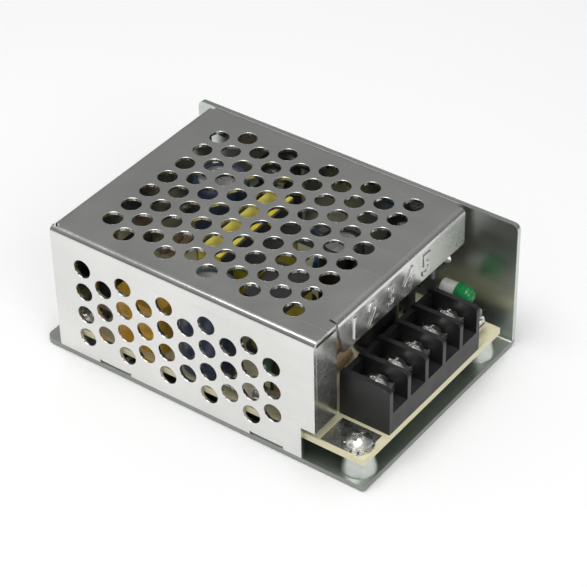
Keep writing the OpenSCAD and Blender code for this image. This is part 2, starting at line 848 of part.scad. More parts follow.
// Ceramic fuse lying between its two bent leads.
module fuse() {
    length = 10;
    r = 1.8;
    color("wheat") in_case() translate([choke_place[0] - 15.4, board_near + 2.6, board_top + r + 0.6])
        rotate([0, 90, 0]) {
            cylinder(h = length, r = r);
            for (end = [-1, 1]) translate([0, 0, end < 0 ? -0.6 : length - 0.4]) {
                translate([0, 0, 0]) cylinder(h = 1, r = 0.35);
                translate([r + 0.6, 0, 0.5]) rotate([0, -90, 0]) cylinder(h = r + 0.6, r = 0.35);
            }
        }
}

module inrush_thermistor() {
    place = [choke_place[0] - 7.2, board_near + 9.6];
    color("darkolivegreen") in_case() translate([place[0], place[1], board_top + 6]) {
        rotate([90, 0, 90]) disc(4.5, 1.3);
        for (side = [-1, 1]) translate([0, side * 2.5, -6]) cylinder(h = 3, r = 0.35);
    }
}

// Dual-in-line package with pins on its two long sides.
module chip(length, width, pins) {
    pin_pitch = 2.54;
    translate([-length / 2, -width / 2, 0.9]) cube([length, width, 3.2]);
    for (side = [-1, 1], i = [0 : pins - 1])
        translate([(i - (pins - 1) / 2) * pin_pitch - 0.3, side * (width / 2 + 0.35) - 0.4, 0])
            cube([0.6, 0.8, 2.6]);
}

module controller_chip() {
    color("#222226") in_case() translate([core_x - 14.2, core_y - 8, board_top]) chip(9.4, 6.3, 4);
}

module optocoupler() {
    color("#36363a") in_case() translate([core_x + 14, board_far - 4.8, board_top]) chip(4.6, 6.3, 2);
}

// An axial part lying on the board, with its wires bent down at both ends.
module axial_part(length, r) {
    translate([-length / 2, 0, r + 0.2]) rotate([0, 90, 0]) cylinder(h = length, r = r);
    for (end = [-1, 1]) {
        translate([end * (length / 2 + 0.6), 0, 0]) cylinder(h = r + 0.5, r = 0.3);
        translate([end * (length / 2 + 0.35) - 0.55, 0, r + 0.2]) rotate([0, 90, 0])
            cylinder(h = 1.1, r = 0.3);
    }
}

resistor_places = [[board_rear + 2.4, core_y + 6], [board_rear + 5.6, core_y + 6],
    [cover_front - 13.5, core_y - 2], [cover_front - 16.8, core_y - 3],
    [cover_front - 10, core_y - 6]];

module resistors() {
    color("tan") in_case() for (place = resistor_places)
        translate([place[0], place[1], board_top]) rotate(90) axial_part(6.3, 1.2);
}

diode_places = [[core_x - 17, core_y - 1.5, 0], [core_x - 16, core_y - 14.6, 0],
    [core_x + 11.7, core_y + 5, 90]];

module diodes() {
    color("#28282c") in_case() for (place = diode_places)
        translate([place[0], place[1], board_top]) rotate(place[2]) axial_part(5, 1.35);
}

// Small three-legged package with one flat side.
module shunt_regulator() {
    color("#232327") in_case() translate([cover_front - 8.6, board_far - 7.4, board_top]) {
        translate([0, 0, 2]) intersection() {
            cylinder(h = 4.6, r = 2.3);
            translate([-3, -1.4, 0]) cube([6, 6, 5]);
        }
        for (i = [-1, 0, 1]) translate([i * 1.27 - 0.22, -0.22, 0]) cube([0.44, 0.44, 2.1]);
    }
}

// ---------------------------------------------------------------- power devices on the wall

// Fully moulded power package that stands against the chassis wall.
module power_package(x) {
    color("#202024") in_case() difference() {
        union() {
            block([x - device_w / 2, device_back - device_t, device_foot],
                [x + device_w / 2, device_back, device_foot + device_h - 6.4]);
            block([x - device_w / 2, device_back - device_t + 1.9, device_foot],
                [x + device_w / 2, device_back, device_foot + device_h]);
        }
        translate([x, device_back + cut, device_hole_z]) rotate([90, 0, 0])
            cylinder(h = 8, r = screw_hole_r);
    }
}

module power_transistor() power_package(device_x[0]);
module output_rectifier() power_package(device_x[1]);

// Three legs under each package, bent in to the edge of the board.
module device_leads() {
    out = device_back - 2.4;
    land = board_far - 1.6;
    color("silver") in_case() for (x = device_x, i = [-1, 0, 1]) translate([x + i * 2.54, 0, 0])
        along_x(-lead_t / 2, lead_t / 2) {
            translate([out - lead_t, device_foot - 1.4]) square([lead_t, 1.4]);
            translate([land, device_foot - 1.4 - lead_t + touch]) square([out - land, lead_t]);
            translate([land, board_top]) square([lead_t, device_foot - 1.4 - board_top]);
        }
}

module thermal_pads() {
    color("lightsteelblue") in_case() for (x = device_x) difference() {
        block([x - device_w / 2 - 0.5, device_back, device_foot - 0.5],
            [x + device_w / 2 + 0.5, wall_in, device_foot + device_h + part_gap]);
        translate([x, wall_in + cut, device_hole_z]) rotate([90, 0, 0])
            cylinder(h = 3, r = screw_hole_r);
    }
}

module device_screws() {
    seat = device_back - device_t + 1.9;
    color("silver") in_case() for (x = device_x) translate([x, seat, device_hole_z])
        rotate([90, 0, 0]) pan_screw(case_width - seat, head_r, head_h);
}

// ---------------------------------------------------------------- lamp and trimmer

// Clear lens on a flange, pointing forwards.
module lamp() {
    length = lamp_diameter + 0.4;
    color("limegreen") in_case() translate([lamp_back, lamp_y, lamp_z]) rotate([0, 90, 0])
        rotate_extrude() {
            square([lamp_r, length - lamp_r]);
            square([lamp_r + 0.35, lamp_flange_h]);
            intersection() {
                translate([0, length - lamp_r]) circle(lamp_r);
                translate([0, length - lamp_r]) square(lamp_r);
            }
        }
}

module lamp_sleeve() {
    color("white") in_case() translate([lamp_back - sleeve_l, lamp_y, lamp_z]) rotate([0, 90, 0])
        difference() {
            cylinder(h = sleeve_l, r = lamp_r);
            for (side = [-1, 1]) translate([0, side * lamp_lead_gap, -cut])
                cylinder(h = sleeve_l + 2 * cut, r = 0.35);
        }
}

module lamp_leads() {
    bend = lamp_back - sleeve_l - 0.7;
    color("silver") in_case() for (side = [-1, 1]) translate([0, lamp_y + side * lamp_lead_gap, 0]) {
        translate([bend - 0.3, 0, lamp_z]) rotate([0, 90, 0])
            cylinder(h = lamp_back - bend + 0.3, r = 0.3);
        translate([bend, 0, board_top]) cylinder(h = lamp_z - board_top + 0.3, r = 0.3);
    }
}

// Upright square body with a bearing for the rotor.
module trimmer_body() {
    size = [trimmer_diameter + 1, trimmer_diameter + 1];
    color("white") in_case() translate([trimmer_x, trimmer_y, trimmer_z]) difference() {
        along_x(-1.8, -0.3) translate(-size / 2) round_rect(size, 0.6);
        translate([-2, 0, 0]) rotate([0, 90, 0]) cylinder(h = 3, r = 0.8 + touch);
    }
}

// Rotor with its hub in the body and a driver slot across its face.
module trimmer_rotor() {
    color("silver") in_case() translate([trimmer_x, trimmer_y, trimmer_z]) rotate([0, 90, 0])
        difference() {
            union() {
                cylinder(h = 0.7, r = trimmer_r);
                cylinder(h = 1.2, r = trimmer_r - 0.6);
                translate([0, 0, -1.5]) cylinder(h = 1.6, r = 0.8 - touch);
            }
            translate([-0.35, -trimmer_r * 0.6, 0.6]) cube([0.7, trimmer_r * 1.2, 1]);
        }
}

// Legs bent from the body down into the board.
module trimmer_legs() {
    color("silver") in_case() for (i = [-1, 0, 1])
        translate([trimmer_x - 2.1, trimmer_y + i * 1.6 - 0.3, board_top])
            cube([0.3, 0.6, trimmer_r + 0.4]);
}

// ---------------------------------------------------------------- nodes

chassis();
cover();
cover_screws();
insulating_sheet();
circuit_board();
board_screws();
lock_washers();
terminal_block();
terminal_contacts();
clamp_plate_1();
clamp_plate_2();
clamp_plate_3();
clamp_plate_4();
clamp_plate_5();
terminal_screw_1();
terminal_screw_2();
terminal_screw_3();
terminal_screw_4();
terminal_screw_5();
transformer_core();
transformer_bobbin();
transformer_winding();
core_tape();
bulk_capacitors();
output_capacitors();
line_capacitor();
safety_capacitor();
supply_capacitor();
line_choke_core();
line_choke_windings();
filter_coil();
filter_coil_core();
output_inductor_core();
output_inductor_winding();
bridge_rectifier();
fuse();
inrush_thermistor();
controller_chip();
optocoupler();
resistors();
diodes();
shunt_regulator();
power_transistor();
output_rectifier();
device_leads();
thermal_pads();
device_screws();
lamp();
lamp_sleeve();
lamp_leads();
trimmer_body();
trimmer_rotor();
trimmer_legs();
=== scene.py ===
"""Finishes, small parts and studio for a mesh case switching power supply."""

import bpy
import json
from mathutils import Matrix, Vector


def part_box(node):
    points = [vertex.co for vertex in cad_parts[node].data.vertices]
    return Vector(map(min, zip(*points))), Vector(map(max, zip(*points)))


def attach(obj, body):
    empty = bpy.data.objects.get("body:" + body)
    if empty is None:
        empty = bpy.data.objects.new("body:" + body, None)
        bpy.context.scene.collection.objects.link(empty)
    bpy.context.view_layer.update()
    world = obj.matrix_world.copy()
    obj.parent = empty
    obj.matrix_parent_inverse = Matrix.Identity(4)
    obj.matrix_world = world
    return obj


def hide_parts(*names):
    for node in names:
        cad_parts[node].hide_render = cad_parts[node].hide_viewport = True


bl_info = {
    "name": "Mesh Case Power Supply",
    "version": (1, 0, 0),
    "blender": (4, 5, 0),
    "location": "3D View > Sidebar > Power Supply",
    "description": "Dresses the frame of a small chassis-mount power supply and lights it",
    "category": "Object",
}

import json
import math

import bmesh
import bpy
from bpy.props import FloatProperty, FloatVectorProperty, IntProperty, PointerProperty
from bpy.types import Operator, Panel, PropertyGroup
from mathutils import Matrix, Vector

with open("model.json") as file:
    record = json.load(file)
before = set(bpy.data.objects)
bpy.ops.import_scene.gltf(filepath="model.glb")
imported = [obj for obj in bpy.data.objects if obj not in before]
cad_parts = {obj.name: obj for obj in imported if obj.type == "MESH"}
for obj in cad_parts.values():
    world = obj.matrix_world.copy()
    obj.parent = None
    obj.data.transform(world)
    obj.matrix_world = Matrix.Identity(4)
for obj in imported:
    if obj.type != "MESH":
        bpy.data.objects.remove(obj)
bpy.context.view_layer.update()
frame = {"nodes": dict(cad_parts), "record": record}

MM = 0.001
CASE = "case"


def top_of(node):
    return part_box(node)[1][2]


def middle_of(node):
    low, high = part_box(node)
    return [(low[i] + high[i]) / 2 for i in range(3)]


# ------------------------------------------------------------------ settings

def colour_setting(name, words, value):
    return FloatVectorProperty(name=name, description=words, subtype="COLOR", size=3,
                               min=0, max=1, default=value)


def length_setting(name, words, value, most=1.0):
    return FloatProperty(name=name, description=words, unit="LENGTH", subtype="DISTANCE",
                         min=0, max=most, default=value)


class SupplyColours(PropertyGroup):
    """Colours of the finishes."""
    cover: colour_setting("Cover", "Polished sheet of the cover", (0.80, 0.80, 0.78))
    chassis: colour_setting("Chassis", "Aluminium of the chassis", (0.66, 0.70, 0.66))
    board: colour_setting("Board", "Face of the circuit board", (0.80, 0.76, 0.52))
    terminal: colour_setting("Terminals", "Moulding of the terminal block", (0.010, 0.010, 0.011))
    tape: colour_setting("Tape", "Tape round the windings", (0.80, 0.68, 0.06))
    sleeve: colour_setting("Capacitor sleeve", "Shrunk sleeve of the capacitors", (0.035, 0.05, 0.09))
    film_box: colour_setting("Film capacitor", "Box of the line capacitor", (0.86, 0.50, 0.06))
    copper: colour_setting("Copper", "Enamelled copper wire", (0.40, 0.14, 0.05))
    lamp: colour_setting("Lamp", "Lens of the indicator lamp", (0.04, 0.52, 0.16))
    floor: colour_setting("Floor", "Floor under the supply", (0.97, 0.97, 0.97))


class SupplySizes(PropertyGroup):
    """Sizes of the small parts made here."""
    mark_height: length_setting("Mark height", "Height of the raised terminal numbers", 5.4 * MM)
    mark_relief: length_setting("Mark relief", "How far the terminal numbers stand out", 0.3 * MM)
    rim_radius: length_setting("Rim radius", "Rounding of the punched edge of a vent hole", 0.11 * MM)
    wire_radius: length_setting("Wire radius", "Radius of the line choke's wire", 0.42 * MM)
    choke_turns: IntProperty(name="Choke turns", description="Turns in each half of the line choke",
                             min=3, max=30, default=11)
    joint_radius: length_setting("Joint radius", "Radius of a solder joint", 0.95 * MM)
    joint_height: length_setting("Joint height", "Height of a solder joint", 0.75 * MM)
    tail_radius: length_setting("Tail radius", "Radius of a clipped lead", 0.3 * MM)
    score_width: length_setting("Score width", "Width of the vent score on a capacitor", 0.35 * MM)


class StageSettings(PropertyGroup):
    """Camera and lights."""
    azimuth: FloatProperty(name="Azimuth", description="Turn of the camera about the supply",
                           subtype="ANGLE", default=math.radians(36.844))
    elevation: FloatProperty(name="Elevation", description="Height angle of the camera",
                             subtype="ANGLE", default=math.radians(38.202))
    roll: FloatProperty(name="Roll", description="Tilt of the camera about its own axis",
                        subtype="ANGLE", default=math.radians(-1.254))
    distance: length_setting("Distance", "From the camera to its aim", 0.48502)
    aim: FloatVectorProperty(name="Aim", description="Point that the camera looks at",
                             subtype="TRANSLATION", unit="LENGTH", size=3,
                             default=(0.003457, 0.000932, 0.014314))
    lens: FloatProperty(name="Lens", description="Focal length on a 36 mm sensor, in millimetres",
                        min=10, max=300, default=138.37)
    key: FloatProperty(name="Key lamp", description="Power of the overhead lamp", unit="POWER",
                       min=0, default=2.1)
    fill: FloatProperty(name="Fill lamp", description="Power of the lamp beside the camera",
                        unit="POWER", min=0, default=1.5)
    sky: FloatProperty(name="Sky", description="Strength of the even light all round", min=0,
                       max=2, default=0.48)


def colours():
    return bpy.context.scene.supply_colours


def sizes():
    return bpy.context.scene.supply_sizes


# ------------------------------------------------------------------ finishes

class Finish:
    """One procedural material around a Principled shader, laid out in object space."""

    def __init__(self, name, **sockets):
        self.material = bpy.data.materials.new(name)
        self.material.use_nodes = True
        self.tree = self.material.node_tree
        self.tree.nodes.clear()
        self.shader = self.node("BsdfPrincipled")
        output = self.node("OutputMaterial")
        self.tree.links.new(self.shader.outputs["BSDF"], output.inputs["Surface"])
        self.place = self.node("TexCoord").outputs["Object"]
        self.set(**sockets)

    def node(self, kind, **settings):
        made = self.tree.nodes.new("ShaderNode" + kind)
        for key, value in settings.items():
            setattr(made, key, value)
        return made

    def join(self, source, target):
        """Feeds a socket with another socket's output, or with a plain value."""
        if isinstance(source, bpy.types.NodeSocket):
            self.tree.links.new(source, target)
        elif hasattr(source, "__len__") and len(source) == 3 and target.type == "RGBA":
            target.default_value = (*source, 1)
        else:
            target.default_value = source

    def set(self, **sockets):
        for key, value in sockets.items():
            self.join(value, self.shader.inputs[key.replace("_", " ")])

    def stretched(self, x=1.0, y=1.0, z=1.0, turn=0.0):
        mapping = self.node("Mapping")
        self.tree.links.new(self.place, mapping.inputs["Vector"])
        mapping.inputs["Scale"].default_value = (x, y, z)
        mapping.inputs["Rotation"].default_value = (0, 0, turn)
        return mapping.outputs["Vector"]

    def noise(self, scale, detail=3.0, roughness=0.55, vector=None):
        made = self.node("TexNoise")
        self.tree.links.new(vector or self.place, made.inputs["Vector"])
        made.inputs["Scale"].default_value = scale
        made.inputs["Detail"].default_value = detail
        made.inputs["Roughness"].default_value = roughness
        return made.outputs["Fac"]

    def waves(self, scale, distortion=0.0, vector=None, direction="X"):
        made = self.node("TexWave", wave_type="BANDS", bands_direction=direction)
        self.tree.links.new(vector or self.place, made.inputs["Vector"])
        made.inputs["Scale"].default_value = scale
        made.inputs["Distortion"].default_value = distortion
        made.inputs["Detail"].default_value = 2
        return made.outputs["Fac"]

    def cells(self, scale, vector=None, output="Distance"):
        made = self.node("TexVoronoi")
        self.tree.links.new(vector or self.place, made.inputs["Vector"])
        made.inputs["Scale"].default_value = scale
        return made.outputs[output]

    def spread(self, value, low, high, start=0.3, end=0.7):
        """Maps a value from start..end to low..high."""
        made = self.node("MapRange")
        self.join(value, made.inputs["Value"])
        made.inputs["From Min"].default_value = start
        made.inputs["From Max"].default_value = end
        made.inputs["To Min"].default_value = low
        made.inputs["To Max"].default_value = high
        return made.outputs["Result"]

    def sum(self, kind, first, second=0.0):
        made = self.node("Math", operation=kind)
        self.join(first, made.inputs[0])
        self.join(second, made.inputs[1])
        return made.outputs[0]

    def mix(self, amount, first, second):
        made = self.node("Mix", data_type="RGBA")
        self.join(amount, made.inputs["Factor"])
        self.join(first, made.inputs["A"])
        self.join(second, made.inputs["B"])
        return made.outputs["Result"]

    def bump(self, *layers):
        """Layers are (height, distance in metres, strength), stacked on the shader's normal."""
        previous = None
        for height, distance, strength in layers:
            made = self.node("Bump")
            made.inputs["Strength"].default_value = strength
            made.inputs["Distance"].default_value = distance
            self.tree.links.new(height, made.inputs["Height"])
            if previous:
                self.tree.links.new(previous, made.inputs["Normal"])
            previous = made.outputs["Normal"]
        self.tree.links.new(previous, self.shader.inputs["Normal"])

    def facing(self, axis):
        """How far a face looks along an axis, from -1 to 1."""
        split = self.node("SeparateXYZ")
        self.tree.links.new(self.node("NewGeometry").outputs["True Normal"], split.inputs[0])
        return split.outputs[axis]

    def position(self, axis):
        split = self.node("SeparateXYZ")
        self.tree.links.new(self.place, split.inputs[0])
        return split.outputs[axis]

    def between(self, value, low, high):
        """1 where the value lies between low and high, else 0."""
        return self.sum("MULTIPLY", self.sum("GREATER_THAN", value, low),
                        self.sum("LESS_THAN", value, high))


def shade(colour, factor):
    return tuple(min(1.0, channel * factor) for channel in colour)


def cover_sheet_finish():
    """Bright rolled sheet: long faint streaks, handling smudges and hairline scratches."""
    f = Finish("cover_sheet", Metallic=1.0)
    cloud = f.noise(38, 4, 0.6)
    streak = f.noise(300, 5, 0.6, f.stretched(0.06, 1, 1))
    smudge = f.noise(110, 3, 0.5)
    base = tuple(colours().cover)
    tint = f.mix(f.spread(cloud, 0, 1, 0.35, 0.65), base, shade(base, 0.90))
    tint = f.mix(f.spread(streak, 0, 0.35), tint, shade(base, 0.82))
    scratch = f.spread(f.noise(2600, 2, 0.5, f.stretched(0.02, 1, 1, 0.35)), 0, 1, 0.70, 0.76)
    rough = f.sum("ADD", f.spread(smudge, 0.13, 0.24), f.spread(streak, 0.0, 0.08))
    f.set(Base_Color=f.mix(f.sum("MULTIPLY", scratch, 0.25), tint, (0.95, 0.95, 0.94)),
          Roughness=f.sum("ADD", rough, f.sum("MULTIPLY", scratch, 0.12)))
    f.bump((f.noise(22, 2, 0.4), 0.00035, 0.35), (streak, 0.000008, 0.5), (scratch, 0.000005, 0.4))
    return f.material


def chassis_finish():
    """Plain aluminium with rolling marks along its length, and painted shade darkening the upright faces
    of its lowest 1.25 mm.
    """
    f = Finish("case_aluminium", Metallic=1.0)
    grain = f.noise(700, 4, 0.6, f.stretched(0.05, 1, 1))
    cloud = f.noise(45, 3, 0.55)
    base = tuple(colours().chassis)
    tint = f.mix(f.spread(cloud, 0, 1), base, shade(base, 0.88))
    tint = f.mix(f.spread(grain, 0, 0.5), tint, shade(base, 0.80))
    # Painted shade: upright faces below 1.25 mm drop to 0.45 of the base colour, standing in for the
    # shadow gap along the bottom.
    upright = f.sum("LESS_THAN", f.sum("ABSOLUTE", f.facing("Z")), 0.5)
    edge = f.sum("MULTIPLY", upright, f.sum("LESS_THAN", f.position("Z"), 1.25 * MM))
    f.set(Base_Color=f.mix(edge, tint, shade(base, 0.45)),
          Roughness=f.sum("ADD", f.spread(cloud, 0.28, 0.38), f.spread(grain, 0.0, 0.08)))
    f.bump((cloud, 0.0002, 0.25), (grain, 0.00001, 0.5))
    return f.material


def bright_steel_finish():
    """Nickel-bright screw steel with turning marks and a few dull spots."""
    f = Finish("screw_steel", Metallic=1.0)
    fine = f.noise(2600, 3, 0.6)
    dull = f.noise(500, 3, 0.6)
    rings = f.waves(2000 / math.tau * 2, 0.4, direction="Z")
    f.set(Base_Color=f.mix(f.spread(dull, 0, 1), (0.86, 0.86, 0.84), (0.62, 0.61, 0.58)),
          Roughness=f.sum("ADD", f.spread(dull, 0.14, 0.32), f.spread(fine, 0, 0.08)))
    side = f.sum("LESS_THAN", f.sum("ABSOLUTE", f.facing("Z")), 0.1)
    f.bump((f.sum("MULTIPLY", rings, side), 0.0002, 0.6), (fine, 0.00002, 0.4))
    return f.material


def tinned_finish(name="tinned_metal"):
    f = Finish(name, Metallic=1.0)
    ripple = f.noise(900, 3, 0.55)
    f.set(Base_Color=f.mix(f.spread(ripple, 0, 1), (0.80, 0.80, 0.77), (0.58, 0.57, 0.53)),
          Roughness=f.spread(ripple, 0.20, 0.36))
    f.bump((ripple, 0.00006, 0.5))
    return f.material


def board_finish():
    """Cream laminate: glass weave on the faces, layered rough edges, grey-green traces below."""
    f = Finish("board_laminate")
    base = tuple(colours().board)
    weave = f.sum("MULTIPLY", f.waves(420, 0.3), f.waves(420, 0.3, direction="Y"))
    cloud = f.noise(120, 4, 0.6)
    face = f.mix(f.spread(cloud, 0, 1), base, shade(base, 0.88))
    face = f.mix(f.sum("MULTIPLY", weave, 0.22), face, shade(base, 0.76))
    edge = f.mix(f.noise(2500, 2, 0.6, f.stretched(0.2, 0.2, 3)), (0.86, 0.82, 0.58), (0.62, 0.56, 0.34))
    flat = f.sum("GREATER_THAN", f.sum("ABSOLUTE", f.facing("Z")), 0.5)
    below = f.sum("LESS_THAN", f.facing("Z"), -0.5)
    trace = f.spread(f.noise(95, 1, 0.4, f.stretched(1, 0.55, 1)), 0, 1, 0.50, 0.515)
    mask = f.mix(trace, (0.17, 0.22, 0.16), (0.23, 0.29, 0.22))
    colour = f.mix(flat, edge, face)
    f.set(Base_Color=f.mix(below, colour, mask), Roughness=f.spread(cloud, 0.34, 0.52))
    f.bump((weave, 0.00003, 0.4), (f.sum("MULTIPLY", trace, below), 0.00004, 0.8))
    return f.material


def film_finish():
    """Milky insulating film, slightly buckled."""
    f = Finish("insulation_film", Specular_IOR_Level=0.5)
    buckle = f.noise(70, 3, 0.5)
    f.set(Base_Color=f.mix(f.spread(buckle, 0, 1), (0.80, 0.80, 0.74), (0.70, 0.70, 0.64)),
          Roughness=f.spread(buckle, 0.22, 0.34))
    f.bump((buckle, 0.0006, 0.5))
    return f.material


def terminal_finish():
    """Black moulding with a satin skin, paler dust on its upward faces."""
    f = Finish("terminal_moulding", IOR=1.5)
    base = tuple(colours().terminal)
    grain = f.noise(1800, 4, 0.6)
    dust = f.noise(160, 4, 0.65)
    level = f.spread(f.facing("Z"), 0, 1, 0.2, 0.9)
    dusty = f.sum("MULTIPLY", level, f.spread(dust, 0.1, 0.5, 0.4, 0.7))
    f.set(Base_Color=f.mix(dusty, base, (0.035, 0.035, 0.037)),
          Roughness=f.spread(dust, 0.30, 0.46))
    f.bump((grain, 0.00004, 0.35), (f.noise(60, 2, 0.5), 0.0003, 0.25))
    return f.material


def ferrite_finish():
    f = Finish("ferrite")
    grain = f.noise(2200, 5, 0.7)
    f.set(Base_Color=f.mix(grain, (0.025, 0.025, 0.028), (0.09, 0.09, 0.095)),
          Roughness=f.spread(f.noise(200, 3, 0.6), 0.5, 0.72))
    f.bump((grain, 0.00008, 0.5))
    return f.material


def black_moulding_finish():
    """Epoxy of the small packages, with a fine sparked texture."""
    f = Finish("black_moulding")
    grain = f.noise(3000, 3, 0.6)
    f.set(Base_Color=f.mix(f.noise(300, 3, 0.6), (0.016, 0.016, 0.017), (0.045, 0.045, 0.046)),
          Roughness=f.spread(grain, 0.42, 0.62))
    f.bump((grain, 0.00004, 0.5))
    return f.material


def tape_finish():
    """Yellow polyester tape: turns that show through, wrinkles and a lapped end."""
    f = Finish("yellow_tape", IOR=1.55, Coat_Weight=0.35, Coat_Roughness=0.12)
    base = tuple(colours().tape)
    turns = f.waves(520, 0.6, direction="Z")
    wrinkle = f.noise(260, 4, 0.6, f.stretched(1, 1, 0.4))
    tint = f.mix(f.spread(wrinkle, 0, 1), base, shade(base, 0.80))
    lap = f.spread(f.noise(60, 1, 0.4), 0, 0.35, 0.48, 0.52)
    f.set(Base_Color=f.mix(lap, tint, (0.88, 0.80, 0.20)), Roughness=f.spread(wrinkle, 0.22, 0.38))
    f.bump((turns, 0.00004, 0.35), (wrinkle, 0.00012, 0.5))
    return f.material


def capacitor_finish(name, base, *nodes):
    """Shrunk sleeve, with the can's bare aluminium in the sunk tops of some nodes."""
    f = Finish(name)
    wrinkle = f.noise(300, 3, 0.5, f.stretched(1, 1, 0.3))
    rub = f.noise(900, 3, 0.6)
    height, sunk = f.position("Z"), 0.0
    for node in nodes:
        top = top_of(node)
        sunk = f.sum("MAXIMUM", f.between(height, top - 0.6 * MM, top - 0.15 * MM), sunk)
    bare = f.sum("MULTIPLY", sunk, f.sum("GREATER_THAN", f.facing("Z"), 0.9))
    metal = f.mix(rub, (0.80, 0.80, 0.79), (0.62, 0.62, 0.62))
    sleeve = f.mix(f.spread(wrinkle, 0, 1), base, shade(base, 1.7))
    f.set(Base_Color=f.mix(bare, sleeve, metal), Metallic=bare,
          Roughness=f.sum("ADD", f.spread(wrinkle, 0.24, 0.36), f.spread(rub, 0, 0.06)))
    f.bump((wrinkle, 0.00006, 0.4))
    return f.material


def coated_finish(name, base, rough=(0.18, 0.34), grain=700, depth=0.00006):
    """Dipped or moulded coating with a soft orange-peel surface."""
    f = Finish(name)
    peel = f.noise(grain, 3, 0.55)
    cloud = f.noise(grain / 5, 3, 0.6)
    f.set(Base_Color=f.mix(f.spread(cloud, 0, 1), base, shade(base, 0.72)),
          Roughness=f.spread(peel, *rough))
    f.bump((peel, depth, 0.5))
    return f.material


def copper_finish():
    """Enamelled wire laid in turns."""
    f = Finish("copper_wire", Metallic=0.85, Coat_Weight=0.5, Coat_Roughness=0.15)
    base = tuple(colours().copper)
    vary = f.noise(500, 3, 0.6)
    f.set(Base_Color=f.mix(f.spread(vary, 0, 1), base, shade(base, 0.6)),
          Roughness=f.spread(vary, 0.22, 0.36))
    f.bump((vary, 0.00003, 0.4))
    return f.material


def fuse_finish():
    """Glazed tube between two metal caps."""
    f = Finish("fuse_ceramic")
    low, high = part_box("fuse")
    cap = 2.8 * MM
    inside = f.between(f.position("X"), low[0] + cap, high[0] - cap)
    vary = f.noise(700, 3, 0.55)
    tube = f.mix(vary, (0.78, 0.72, 0.58), (0.66, 0.60, 0.46))
    metal = f.mix(vary, (0.80, 0.80, 0.78), (0.60, 0.60, 0.57))
    f.set(Base_Color=f.mix(inside, metal, tube), Metallic=f.sum("SUBTRACT", 1.0, inside),
          Roughness=f.spread(vary, 0.16, 0.30))
    f.bump((vary, 0.00004, 0.4))
    return f.material


def resistor_finish():
    """Lacquered bodies with plain colour bands; wires bare below."""
    f = Finish("resistor_coating")
    band = f.waves(1000 / 1.9, 0.0, direction="Y")
    vary = f.noise(800, 3, 0.6)
    body = f.mix(vary, (0.62, 0.48, 0.30), (0.50, 0.38, 0.24))
    low = f.sum("LESS_THAN", f.position("Z"), top_of("circuit_board") + 0.5 * MM)
    colour = f.mix(f.sum("GREATER_THAN", band, 0.86), body, (0.22, 0.07, 0.03))
    f.set(Base_Color=f.mix(low, colour, (0.70, 0.70, 0.68)), Metallic=low,
          Roughness=f.spread(vary, 0.26, 0.42))
    f.bump((vary, 0.00005, 0.4))
    return f.material


def lamp_finish():
    """Clear coloured resin with a faintly varied tint and gloss."""
    base = tuple(colours().lamp)
    f = Finish("lamp_lens", IOR=1.5, Transmission_Weight=0.55)
    vary = f.noise(500, 2, 0.5)
    f.set(Base_Color=f.mix(f.spread(vary, 0, 1), base, shade(base, 0.8)),
          Roughness=f.spread(vary, 0.05, 0.14))
    f.bump((vary, 0.00003, 0.3))
    return f.material


def finish_for(slot, made={}):
    """The finish of one of the record's material slots, made on first use."""
    recipes = {
        "cover_sheet": cover_sheet_finish,
        "case_aluminium": chassis_finish,
        "screw_steel": bright_steel_finish,
        "tinned_metal": tinned_finish,
        "board_laminate": board_finish,
        "insulation_film": film_finish,
        "terminal_moulding": terminal_finish,
        "ferrite": ferrite_finish,
        "black_moulding": black_moulding_finish,
        "yellow_tape": tape_finish,
        "capacitor_sleeve": lambda: capacitor_finish(
            "capacitor_sleeve", tuple(colours().sleeve), "bulk_capacitors", "supply_capacitor"),
        "black_sleeve": lambda: capacitor_finish(
            "black_sleeve", (0.012, 0.012, 0.014), "output_capacitors"),
        "copper_wire": copper_finish,
        "fuse_ceramic": fuse_finish,
        "resistor_coating": resistor_finish,
        "lamp_lens": lamp_finish,
        "film_capacitor_box": lambda: coated_finish("film_capacitor_box", tuple(colours().film_box)),
        "blue_epoxy": lambda: coated_finish("blue_epoxy", (0.03, 0.16, 0.50), (0.12, 0.26)),
        "green_epoxy": lambda: coated_finish("green_epoxy", (0.05, 0.11, 0.05), (0.3, 0.5)),
        "green_ring": lambda: coated_finish("green_ring", (0.03, 0.20, 0.08), (0.3, 0.45)),
        "thermal_pad": lambda: coated_finish("thermal_pad", (0.48, 0.54, 0.58), (0.6, 0.8), 1500),
        "white_plastic": lambda: coated_finish("white_plastic", (0.84, 0.84, 0.80), (0.16, 0.28), 1200),
    }
    if slot not in made:
        made[slot] = recipes[slot]()
    return made[slot]


def dress(*nodes):
    """Gives CAD nodes the finish of their slot in the record."""
    slots = {row["node"]: row["material_slot"] for row in frame["record"]["subparts"]}
    for name in nodes:
        piece = frame["nodes"][name]
        piece.data.materials.clear()
        piece.data.materials.append(finish_for(slots[name]))


# ------------------------------------------------------------------ making pieces

def mesh_piece(name, mesh, slot, body=CASE, finish=None):
    """Puts a mesh in the scene with a finish and makes it ride on a body."""
    piece = bpy.data.objects.new(name, mesh)
    bpy.context.collection.objects.link(piece)
    mesh.materials.clear()
    mesh.materials.append(finish or finish_for(slot))
    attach(piece, body)
    return piece


def smooth(mesh, angle=math.radians(35)):
    mesh.shade_smooth()
    mesh.set_sharp_from_angle(angle=angle)


